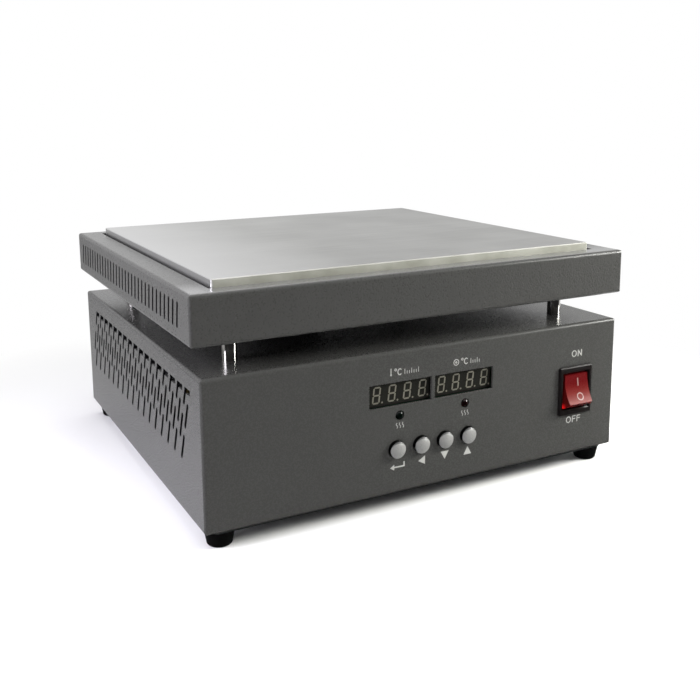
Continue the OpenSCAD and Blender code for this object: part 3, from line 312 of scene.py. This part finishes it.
# Where the paper changes, in metres from the middle of the base.
WHITE_FROM_TO = (0.19, 0.38)
FRONT_END, FRONT_END_RIGHT, FRONT_FADE = 0.10, 0.30, 0.02
LONGER_FROM_TO = (0.13, 0.53)
LEFT_FROM_TO, LEFT_DARK = (0.14, 0.24), 0.5


def add_floor():
    mesh = bpy.data.meshes.new("floor")
    half = FLOOR_SIZE / 2
    corners = [(-half, -half, 0), (half, -half, 0), (half, half, 0), (-half, half, 0)]
    mesh.from_pydata(corners, [], [(0, 1, 2, 3)])
    floor = bpy.data.objects.new("floor", mesh)
    bpy.context.scene.collection.objects.link(floor)
    paper = Finish("white_paper", base_color=(PAPER,) * 3, roughness=0.9)
    paper.set("Specular IOR Level", 0)
    distance = paper.node("ShaderNodeVectorMath", {"operation": "LENGTH"}, {0: paper.place()}, out="Value")
    far = paper.spread(distance, *WHITE_FROM_TO, 0, 1)
    seen = paper.node("ShaderNodeLightPath", out="Is Camera Ray")
    mirrored = paper.node("ShaderNodeLightPath", out="Is Glossy Ray")
    white = paper.node("ShaderNodeEmission", None, {"Color": (1, 1, 1, 1), "Strength": 1})
    lit = Value(paper, paper.shader.outputs[0])
    factor = far * seen.math("MAXIMUM", seen, mirrored)
    pale = paper.node("ShaderNodeMixShader", None, {0: factor, 1: lit, 2: white})
    edge = paper.spread(paper.along((1, 0, 0)), *LONGER_FROM_TO, FRONT_END, FRONT_END_RIGHT)
    front = paper.spread(paper.along((0, -1, 0)) - edge, 0, FRONT_FADE, 0, 1)
    left = paper.spread(paper.along((-1, 0, 0)), *LEFT_FROM_TO, 0, LEFT_DARK)
    end = mirrored * front.math("MAXIMUM", front, left)
    dark = paper.node("ShaderNodeEmission", None, {"Color": (1, 1, 1, 1), "Strength": FRONT_GLOSS})
    mixed = paper.node("ShaderNodeMixShader", None, {0: end, 1: pale, 2: dark})
    paper.tree.links.new(mixed.socket, paper.tree.nodes["Material Output"].inputs["Surface"])
    mesh.materials.append(paper.material)


add_floor()
print("floor", FLOOR_SIZE, "m")

# %% [markdown]
# ## Powder coat
# Both pans are steel with a baked warm dark grey powder. On the base it has run almost smooth: satin,
# with an orange-peel too fine to see except where the light grazes a bend. On the hood the powder is
# coarser and its grains catch the light as specks. Inner walls that face the front are painted near
# black as painted shade, flat tops have a thin gloss, and a painted highlight makes the hood's front rim
# paler.

# %% Powder coats
COAT_GREY = (0.0525, 0.0525, 0.050)
# Painted shade: walls that face the front but lie behind the front face, in and behind the slots, are
# painted near black.
INSIDE_SHADE = (0.008, 0.008, 0.009)
# Painted highlight: the flat top of the hood's front rim is painted paler and glossier than the rest.
RIM_HIGHLIGHT = (0.13, 0.13, 0.13)
RIM_HIGHLIGHT_FROM, RIM_HIGHLIGHT_TO = 0.030, 0.009
FRONT_DEPTH = 0.003
TOP_GLOSS, RIM_HIGHLIGHT_GLOSS = 0.3, 0.7


def powder_coat(name, piece, grain, depth, roughness, shine, rim_light):
    """Powder with grains of that size and height. The last argument says how strong a painted highlight
    makes the front rim paler.
    """
    coat = Finish(name, specular_ior_level=shine, coat_roughness=0.15)
    patches = coat.noise(0.03, detail=3)
    fine = coat.noise(grain, detail=1)
    shade = coat.spread(patches + fine * 0.6, 0.5, 1.1, 0.45, 0.55)
    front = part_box(piece)[0].y
    # The painted shade goes on walls that face the front and lie more than FRONT_DEPTH behind the front
    # face.
    behind = coat.spread(coat.along((0, 1, 0)), front + FRONT_DEPTH, front + FRONT_DEPTH + 0.001, 0, 1)
    shaded_inside = coat.facing((0, -1, 0), 0.3, 0.6) * behind
    top = coat.facing((0, 0, 1), 0.85, 0.98)
    rim = coat.spread(coat.along((0, -1, 0)), -front - RIM_HIGHLIGHT_FROM, -front - RIM_HIGHLIGHT_TO, 0, rim_light)
    rim_highlight = top * rim
    grey = coat.mix(rim_highlight, coat.shades(shade, COAT_GREY, 0.90, 1.10), RIM_HIGHLIGHT)
    coat.set("Base Color", coat.mix(shaded_inside, grey, INSIDE_SHADE))
    coat.vary_roughness(fine, roughness, 0.04)
    coat.set("Coat Weight", top * TOP_GLOSS + rim_highlight * RIM_HIGHLIGHT_GLOSS)
    coat.bump(fine, depth)
    coat.paint(piece)


powder_coat("base_coat", "base_housing", grain=0.0007, depth=0.00002, roughness=0.27, shine=0.18, rim_light=0)
powder_coat("hood_coat", "hood", grain=0.0011, depth=0.00013, roughness=0.30, shine=0.28, rim_light=0.85)
print("coated:", sorted(painted))

# %% [markdown]
# ## Bare metal
# The plate's top is brushed from side to side. Brushing leaves long, very thin scratches, so its noise is
# stretched along X: it changes the roughness and tilts the surface across the scratches. Screws, straps
# and sheet inside are zinc plated, with the faint cloudy look of plating.

# %% Metals
PLATE_TOP = (0.42, 0.42, 0.41)
# A painted sheen: the plate's top is painted paler towards its left end, where light falls on it.
PAINTED_SHEEN = (0.60, 0.60, 0.60)
SHEEN_FROM_TO = (0.04, 0.13)
MILLED_DARK, MILLED_PALE = (0.34, 0.34, 0.29), (0.43, 0.43, 0.38)
TOP_ROUGHNESS, MILLED_ROUGHNESS = 0.36, 0.9
BRUSHED_ACROSS, EXTRUDED_UPWARD = (18, 1400, 1400), (1500, 1500, 30)
SCRATCH_DEPTH = 0.00001


def brushed(name, colour, roughness, stretch):
    """Metal with scratches, which are long along the axis that is stretched least."""
    metal = Finish(name, metallic=1.0)
    scratches = metal.noise(1.0, detail=3, stretch=stretch)
    clouds = metal.noise(0.05)
    shade = metal.spread(scratches * 0.5 + clouds * 0.5, 0.35, 0.65, 0, 1)
    metal.shade = metal.shades(shade, colour, 0.85, 1.12)
    metal.set("Base Color", metal.shade)
    metal.vary_roughness(scratches, roughness, 0.05)
    metal.bump(scratches, SCRATCH_DEPTH)
    return metal


def plated(name, colour, roughness):
    """Metal with the faint clouds of plating."""
    metal = Finish(name, metallic=1.0)
    clouds = metal.noise(0.004, detail=3)
    metal.set("Base Color", metal.shades(clouds, colour, 0.88, 1.06))
    metal.vary_roughness(clouds, roughness, 0.05)
    return metal


def heated_plate():
    """A brushed top with a painted sheen that makes it paler towards the left. The front edge is milled:
    dull and mottled.
    """
    plate = brushed("brushed_aluminium", PLATE_TOP, TOP_ROUGHNESS, BRUSHED_ACROSS)
    front = plate.facing((0, -1, 0), 0.5, 0.9)
    sheen_mask = plate.spread(plate.along((-1, 0, 0)), *SHEEN_FROM_TO, 0, 1)
    top = plate.mix(sheen_mask, plate.shade, PAINTED_SHEEN)
    mottle = plate.spread(plate.noise(0.012), 0.35, 0.65, 0, 1)
    milled = plate.mix(mottle, MILLED_DARK, MILLED_PALE)
    plate.set("Base Color", plate.mix(front, top, milled))
    plate.set("Metallic", plate.spread(front, 0, 1, 1.0, 0.0))
    plate.set("Roughness", plate.spread(front, 0, 1, TOP_ROUGHNESS, MILLED_ROUGHNESS))
    plate.paint("heating_plate")


heated_plate()
brushed("extruded_aluminium", (0.55, 0.55, 0.56), 0.40, EXTRUDED_UPWARD).paint("heat_sink")
plated("chrome", (0.50, 0.49, 0.47), 0.07).paint("support_posts")
plated("zinc_sheet", (0.40, 0.41, 0.42), 0.38).paint(
    "bottom_plate", "heater_straps", "plate_standoffs", "switch_terminals")
# The tray and the lead duct are a darker zinc, partly as painted shade for the gap under the hood.
plated("dull_zinc_and_shade", (0.16, 0.16, 0.16), 0.55).paint("hood_tray", "lead_duct")
plated("zinc_screws", (0.60, 0.60, 0.60), 0.30).paint(
    *(name for name in nodes if "screws" in name or "nuts" in name))
plated("heated_sheath", (0.22, 0.23, 0.24), 0.45).paint("heating_element")
plated("bare_brass", (0.66, 0.50, 0.22), 0.30).paint(
    "element_terminals", "temperature_probe", "board_standoffs", "power_standoffs", "inlet_pins",
    "earth_stud")
print("painted so far:", len(painted))

# %% [markdown]
# ## Plastics, rubber and boards
# Moulded pieces have an even colour and a slight grain from the mould. One helper makes them all; the
# grain's depth and the roughness tell rubber from a polished cap.

# %% Moulded pieces
def moulded(name, colour, roughness, grain=0.0004, depth=0.00001, vary=0.06, **settings):
    """Plastic or rubber of one colour, a little uneven, with a fine grain."""
    plastic = Finish(name, **settings)
    grains = plastic.noise(grain)
    plastic.shade = plastic.shades(grains, colour, 1 - vary, 1 + vary)
    plastic.set("Base Color", plastic.shade)
    plastic.vary_roughness(grains, roughness, 0.03)
    plastic.bump(grains, depth)
    return plastic


moulded("black_rubber", (0.003, 0.003, 0.003), 0.62, depth=0.00003, specular_ior_level=0.05).paint(
    "rubber_feet")
moulded("black_plastic", (0.008, 0.006, 0.006), 0.34, specular_ior_level=0.30).paint("switch_housing")
moulded("inlet_plastic", (0.020, 0.020, 0.020), 0.45).paint(
    "inlet_body", "overheat_thermostat", "tact_switches", "power_triac")
moulded("display_face", (0.013, 0.013, 0.011), 0.25, vary=0.15, specular_ior_level=0.15).paint(
    "display_actual", "display_set")
moulded("display_bars", (0.15, 0.143, 0.113), 0.40, specular_ior_level=0.2).paint("display_segments")
moulded("green_lens", (0.001, 0.003, 0.002), 0.10, specular_ior_level=0.25).paint("led_heating")
moulded("red_lens", (0.005, 0.001, 0.001), 0.10, specular_ior_level=0.35).paint("led_overheat")
moulded("solder_mask", (0.020, 0.130, 0.060), 0.35).paint("control_board", "power_board")
moulded("white_ceramic", (0.72, 0.70, 0.64), 0.30).paint("terminal_block")
moulded("insulating_board", (0.62, 0.59, 0.50), 0.80, grain=0.002, depth=0.0001).paint("insulation_board")
moulded("varnished_core", (0.055, 0.055, 0.060), 0.35).paint("transformer_core")
# The tape's yellow is darkened as painted shade for the inside, seen through the vents.
moulded("yellow_tape_and_shade", (0.09, 0.065, 0.02), 0.50).paint("transformer_winding")
moulded("blue_case", (0.030, 0.070, 0.320), 0.40).paint("power_relay")
moulded("fuse_glass", (0.62, 0.64, 0.64), 0.10).paint("fuse")
print("painted so far:", len(painted))

# %% Silver buttons
BUTTON_DOME = 0.0005
BUTTON_SHADE = 0.38
# Painted shade on the cap's side, and a painted reflection of the hood in the crescent along its top.
BUTTON_SIDE_SHADE, BUTTON_REFLECTION = (0.02, 0.02, 0.02), (0.13, 0.13, 0.13)
SILVER_DARK, SILVER_PALE = (0.39, 0.39, 0.38), (0.46, 0.46, 0.45)


def silver_buttons(names):
    """A plated cap, pale on its face, with painted shade dark down its side. The light shows the face as
    slightly domed, and a painted reflection of the hood makes a darker crescent along its top."""
    low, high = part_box(names[0])
    radius = (high.x - low.x) / 2
    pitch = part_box(names[1])[0].x - low.x
    silver = Finish("silver_cap")
    x, z = silver.along((1, 0, 0)), silver.along((0, 0, 1))
    from_left = x - (low.x + radius - pitch / 2)
    across = from_left.math("MODULO", from_left, pitch) - pitch / 2
    up = z - (low.z + high.z) / 2
    dome = 1 - (across * across + up * up) * (1 / radius ** 2)
    lifted = up + radius * BUTTON_SHADE
    reflected_crescent = silver.spread((across * across + lifted * lifted) * (1 / radius ** 2), 0.98, 1.10, 0, 1)
    grains = silver.noise(0.0005)
    face = silver.facing((0, -1, 0), 0.35, 0.8)
    shade = silver.mix(grains, SILVER_DARK, SILVER_PALE)
    silver.set("Base Color", silver.mix(face, BUTTON_SIDE_SHADE, silver.mix(reflected_crescent, shade, BUTTON_REFLECTION)))
    silver.set("Metallic", silver.spread(face, 0, 1, 1.0, 0.5))
    silver.vary_roughness(grains, 0.30, 0.03)
    silver.bump(dome, BUTTON_DOME)
    silver.paint(*names)
    print("button caps", round(radius * 2000, 1), "mm across and", round(pitch * 1000, 1), "mm apart")


silver_buttons(("button_set", "button_left", "button_down", "button_up"))

# %% Red rocker
ROCKER_RED = (0.09, 0.003, 0.004)
# A painted highlight for the face, painted shade for the flank, and a painted glow, which is no lamp.
ROCKER_HIGHLIGHT = (0.17, 0.024, 0.019)
ROCKER_FLANK_SHADE, ROCKER_PAINTED_GLOW = (0.07, 0.003, 0.003), (0.9, 0.01, 0.01)
GLOW_UP_TO, GLOW_BEHIND = (0.001, 0.004), (0.003, 0.006)


def red_rocker():
    """Translucent red, with painted light: a painted highlight on the lower face, painted shade on its
    left flank, and a painted glow low on the left for light that has come through.
    """
    low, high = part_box("switch_rocker")
    rocker = moulded("red_rocker", ROCKER_RED, 0.28, specular_ior_level=0.09, emission_strength=1.0)
    flank = rocker.facing((-1, 0, 0), 0.5, 0.9)
    lowest, top = (low.z + up for up in GLOW_UP_TO)
    nearest, behind = (low.y + inward for inward in GLOW_BEHIND)
    bottom = rocker.spread(rocker.along((0, 0, 1)), lowest, top, 1, 0)
    front = rocker.spread(rocker.along((0, 1, 0)), nearest, behind, 1, 0)
    # The painted highlight: the face is paler where it tilts up towards the front light.
    lit = rocker.facing((0, 0, 1), 0.16, 0.62) * rocker.facing((0, -1, 0), 0.68, 0.78)
    face = rocker.mix(lit, rocker.shade, ROCKER_HIGHLIGHT)
    rocker.set("Base Color", rocker.mix(flank, face, ROCKER_FLANK_SHADE))
    rocker.set("Emission Color", rocker.mix(flank * bottom * (1 - front), (0, 0, 0), ROCKER_PAINTED_GLOW))
    rocker.paint("switch_rocker")


red_rocker()
missing = sorted(set(nodes) - painted)
print("CAD pieces without a finish:", missing or "none")

# %% [markdown]
# ## Signs on the panel
# The signs are screen printed: flat ink a few hundredths of a millimetre thick. Each is drawn as strokes
# and outlines and made into one thin mesh, which rides on the base and lies on its face. A place on the
# panel is given in millimetres from its middle line and from its lower edge. Only generic signs are
# printed: arrows, ON and OFF, a degree sign and simple icons.

# %% Drawing with strokes
CURVE_STEPS = 24
SHARPEST = 0.35


def stroke(points, width, closed=False):
    """The quads of a line of that width through the points, mitred at its corners."""
    points = [Vector(p) for p in points]
    count = len(points)
    sides = []
    for i, point in enumerate(points):
        before = points[i - 1] if i > 0 or closed else None
        after = points[(i + 1) % count] if i < count - 1 or closed else None
        legs = [(a, b) for a, b in ((before, point), (point, after)) if a is not None and b is not None]
        ways = [(b - a).normalized() for a, b in legs]
        way = sum(ways, Vector((0, 0))).normalized()
        side = Vector((-way.y, way.x))
        first = Vector((-ways[0].y, ways[0].x))
        side *= width / 2 / max(side.dot(first), SHARPEST)
        sides.append((point + side, point - side))
    quads = []
    for i in range(count if closed else count - 1):
        (a, b), (c, d) = sides[i], sides[(i + 1) % count]
        quads.append([b, d, c, a])
    return quads


def arc(centre, radius, start, stop, squeeze=1.0, steps=CURVE_STEPS):
    """Points on a circle from one angle to another, in degrees, narrowed across by squeeze."""
    angles = [radians(start + (stop - start) * i / steps) for i in range(steps + 1)]
    return [(centre[0] + squeeze * radius * cos(a), centre[1] + radius * sin(a)) for a in angles]


def ring(centre, radius, width, squeeze=1.0):
    """A closed circular line, narrowed across by squeeze."""
    return stroke(arc(centre, radius, 0, 360, squeeze)[:-1], width, closed=True)


print("curves have", CURVE_STEPS, "steps")

# %% Printing shapes on the panel
INK_LIFT = 0.00003
INK_THICK = 0.00004
PANEL_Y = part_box("base_housing")[0].y
BASE_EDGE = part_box("base_housing")[0].z * 1000


def on_panel(point):
    """Puts (across, up) in millimetres on the panel's face."""
    return Vector((point[0] / 1000, PANEL_Y - INK_LIFT, (BASE_EDGE + point[1]) / 1000))


def thin_piece(name, shapes, lay, out, thickness=INK_THICK):
    """Makes outlines into one thin mesh. Lay puts a flat point in space, out is the way it thickens."""
    build = bmesh.new()
    for shape in shapes:
        low = [build.verts.new(lay(p)) for p in shape]
        high = [build.verts.new(lay(p) + out(p) * thickness) for p in shape]
        build.faces.new(high)
        build.faces.new(list(reversed(low)))
        for i in range(len(shape)):
            j = (i + 1) % len(shape)
            build.faces.new((low[i], low[j], high[j], high[i]))
    bmesh.ops.recalc_face_normals(build, faces=build.faces)
    mesh = bpy.data.meshes.new(name)
    build.to_mesh(mesh)
    build.free()
    piece = bpy.data.objects.new(name, mesh)
    bpy.context.scene.collection.objects.link(piece)
    return piece


def ink(name, colour):
    """Matt ink that covers a little unevenly."""
    printing = Finish(name, roughness=0.5)
    grains = printing.noise(0.0006, detail=3)
    printing.set("Base Color", printing.shades(grains, colour, 0.88, 1.08))
    return printing.material


INK = ink("white_ink", (0.42, 0.42, 0.40))


def printed(name, shapes):
    """Prints shapes on the panel as one piece that stays with the base."""
    piece = thin_piece(name, shapes, on_panel, lambda point: Vector((0, -1, 0)))
    piece.data.materials.append(INK)
    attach(piece, "root")
    print(name, "has", len(shapes), "outlines")


print("ink", INK.name, "is", INK_THICK * 1000, "mm thick")

# %% Letters and arrows
LETTER_HEIGHT = 4.3
LETTER_LINE = 0.62
LETTER_GAP = 0.9
C_OPENING = 42


def letter(sign, x, z, height, width):
    """O, N, F or C with its lower left corner at (x, z)."""
    line = LETTER_LINE * height / LETTER_HEIGHT
    centre, radius = (x + width / 2, z + height / 2), (height - line) / 2
    squeeze = (width - line) / (height - line)
    if sign == "O":
        return ring(centre, radius, line, squeeze)
    if sign == "C":
        return stroke(arc(centre, radius, C_OPENING, 360 - C_OPENING, squeeze), line)
    left, right, top, middle = x + line / 2, x + width - line / 2, z + height, z + height * 0.52
    upright = stroke([(left, z), (left, top)], line)
    if sign == "N":
        slant = stroke([(left, top - line / 2), (right, z + line / 2)], line)
        return upright + slant + stroke([(right, z), (right, top)], line)
    upper_bar = stroke([(x, top - line / 2), (x + width, top - line / 2)], line)
    return upright + upper_bar + stroke([(x, middle), (x + width * 0.9, middle)], line)


def word(signs, x, z, widths):
    """Letters in a row, each as wide as it is told to be."""
    shapes = []
    for sign, width in zip(signs, widths):
        shapes += letter(sign, x, z, LETTER_HEIGHT, width)
        x += width + LETTER_GAP
    return shapes


printed("print_on", word("ON", 102.9, 62.8, (3.9, 3.3)))
printed("print_off", word("OFF", 100.1, 20.1, (3.9, 2.9, 2.9)))
printed("print_left_arrow", [[(-9.3, 16.5), (-4.7, 13.9), (-4.7, 19.1)]])
printed("print_down_arrow", [[(8.9, 14.4), (11.6, 19.2), (6.1, 19.2)]])
printed("print_up_arrow", [[(25.0, 19.1), (22.2, 14.3), (27.7, 14.3)]])


def enter_sign(x, z):
    """The bent arrow that confirms an entry."""
    line = stroke([(x + 4.6, z + 2.6), (x + 4.6, z), (x - 2.2, z)], 0.85)
    return line + [[(x - 4.6, z), (x - 1.9, z - 1.7), (x - 1.9, z + 1.7)]]


printed("print_enter", enter_sign(-23.4, 15.7))

# %% Icons over the displays and under the lamps
WAVE_PITCH = 2.0
WAVE_SWING = 0.42
WAVE_STEPS = 12


def degrees_sign(x, z, height):
    """A small ring and a C."""
    small_ring = ring((x, z + height * 0.86), height * 0.15, 0.45)
    return small_ring + letter("C", x + height * 0.30, z, height, height * 0.80)


def thermometer(x, z, height):
    """A round bulb and an upright tube."""
    bulb = arc((x, z + height * 0.18), height * 0.13, 0, 360)[:-1]
    return [bulb] + stroke([(x, z + height * 0.2), (x, z + height)], height * 0.12)


def scale_marks(x, z, count, pitch, height):
    """Short upright ticks in a row, every third one taller."""
    shapes = []
    for i in range(count):
        top = z + height * (1.0 if i % 3 == 0 else 0.6)
        shapes += stroke([(x + i * pitch, z), (x + i * pitch, top)], 0.38)
    return shapes


def heat_waves(x, z, height):
    """Three upright wavy lines side by side."""
    shapes = []
    for middle in (x - WAVE_PITCH, x, x + WAVE_PITCH):
        turns = [k / WAVE_STEPS for k in range(WAVE_STEPS + 1)]
        points = [(middle + WAVE_SWING * sin(2 * pi * turn), z + height * turn) for turn in turns]
        shapes += stroke(points, 0.42)
    return shapes


printed("print_actual", thermometer(-27.5, 69.6, 4.6) + degrees_sign(-24.5, 69.7, 3.9)
        + scale_marks(-18.5, 69.9, 7, 1.5, 3.0))
printed("print_set", ring((16.2, 71.7), 1.7, 0.5) + ring((16.2, 71.7), 0.45, 0.5)
        + degrees_sign(20.4, 69.7, 3.9) + scale_marks(26.4, 69.9, 5, 1.5, 3.0))
printed("print_heating", heat_waves(-21.6, 38.7, 3.2))
printed("print_overheat", heat_waves(22.8, 38.7, 3.2))

# %% [markdown]
# ## Marks on the rocker
# The rocker has a line for on and a ring for off on its hollow face. The face is part of a cylinder, so
# each mark is drawn flat and then bent onto it. It rides on the rocker and tilts with it. The sizes are
# those of the CAD rocker, in millimetres: where it turns, how far it is tilted at rest, the radius of its
# body, how far its ends reach from the pivot and how deep its face is hollowed.

# %% Rocker marks
SWITCH_X, PIVOT_Y = 105.7, -127.5
SWITCH_Z = BASE_EDGE + 41.5
TILT = radians(18)
ROCKER_RADIUS = 10.8
ROCKER_REACH = 5.8
ROCKER_DIP = 1.6
HALF_CHORD = sqrt(ROCKER_RADIUS ** 2 - ROCKER_REACH ** 2)
FACE_RADIUS = (HALF_CHORD ** 2 + ROCKER_DIP ** 2) / (2 * ROCKER_DIP)


def on_rocker(point):
    """Bends (across, along the face) onto the hollow face; the numbers are millimetres."""
    angle = point[1] / FACE_RADIUS
    up = FACE_RADIUS * sin(angle)
    proud = ROCKER_REACH - ROCKER_DIP + FACE_RADIUS * (1 - cos(angle)) + INK_LIFT * 1000
    lean_up = up * cos(TILT) + proud * sin(TILT)
    lean_out = proud * cos(TILT) - up * sin(TILT)
    return Vector((SWITCH_X + point[0], PIVOT_Y - lean_out, SWITCH_Z + lean_up)) / 1000


def out_of_rocker(point):
    """The way that the hollow face looks there."""
    angle = point[1] / FACE_RADIUS
    up, proud = -sin(angle), cos(angle)
    return Vector((0, -(proud * cos(TILT) - up * sin(TILT)), up * cos(TILT) + proud * sin(TILT)))


ROCKER_INK = ink("rocker_ink", (0.28, 0.15, 0.14))


def rocker_mark(name, shapes):
    """Prints shapes on the rocker as one piece that tilts with it."""
    piece = thin_piece(name, shapes, on_rocker, out_of_rocker)
    piece.data.materials.append(ROCKER_INK)
    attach(piece, "rocker")
    print(name, "lies", round(piece.data.vertices[0].co.z * 1000, 1), "mm up")


rocker_mark("rocker_line", stroke([(1.0, 1.8), (1.0, 6.8)], 0.8))
rocker_mark("rocker_ring", ring((1.0, -4.9), 2.2, 0.7))

# %% [markdown]
# ## View transform
# The view transform is plain sRGB so that the colours come out as written.

# %% View transform
bpy.context.scene.view_settings.view_transform = "Standard"
